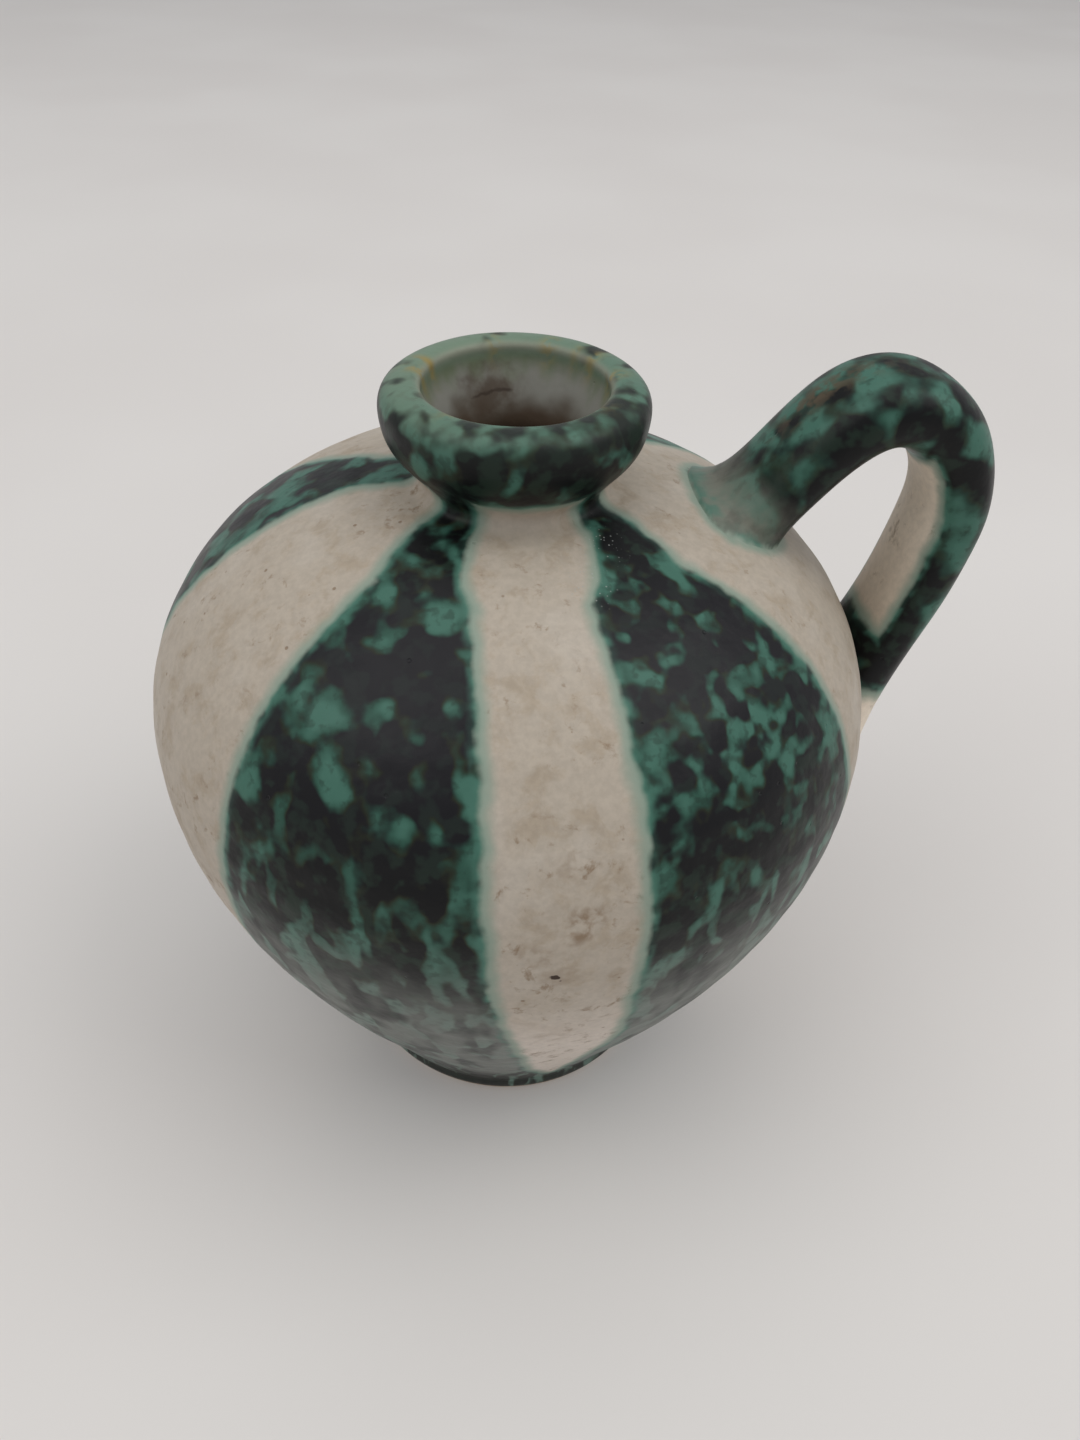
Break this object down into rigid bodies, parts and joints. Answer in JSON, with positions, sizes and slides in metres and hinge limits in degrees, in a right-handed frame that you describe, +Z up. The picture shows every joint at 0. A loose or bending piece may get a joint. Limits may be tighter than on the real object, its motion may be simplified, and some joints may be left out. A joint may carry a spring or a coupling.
{
  "type": "one-handled jug",
  "caption": "Small round-bodied ceramic jug with a narrow collared mouth, a strap handle from shoulder to belly, a short foot, and dark green mottled bands over warm white glaze.",
  "frame": {"origin": "centre of the foot's resting face, on the jug's turning axis", "axes": "+Z up along the turning axis, +X from the axis towards the handle"},
  "size_m": [0.1058, 0.0936, 0.1092],
  "materials": {
    "bare_clay": "unglazed matt",
    "cream_glaze": "satin",
    "green_glaze": "satin, mottled",
    "lip_glaze": "satin",
    "liner_glaze": "satin"
  },
  "bodies": {
    "root": {"body_shell": "bare_clay", "foot_ring": "bare_clay", "mouth_collar": "bare_clay", "handle_strap": "bare_clay", "upper_joint": "green_glaze", "lower_joint": "green_glaze", "foot_glaze": "green_glaze", "collar_glaze": "green_glaze", "lip_glaze": "lip_glaze", "throat_glaze": "liner_glaze", "liner_glaze": "liner_glaze", "handle_green_glaze": "green_glaze", "handle_cream_glaze": "cream_glaze", "cream_panel_1": "cream_glaze", "green_band_1": "green_glaze", "cream_panel_2": "cream_glaze", "green_band_2": "green_glaze", "cream_panel_3": "cream_glaze", "green_band_3": "green_glaze", "cream_panel_4": "cream_glaze", "green_band_4": "green_glaze", "cream_panel_5": "cream_glaze", "green_band_5": "green_glaze"}
  },
  "joints": []
}
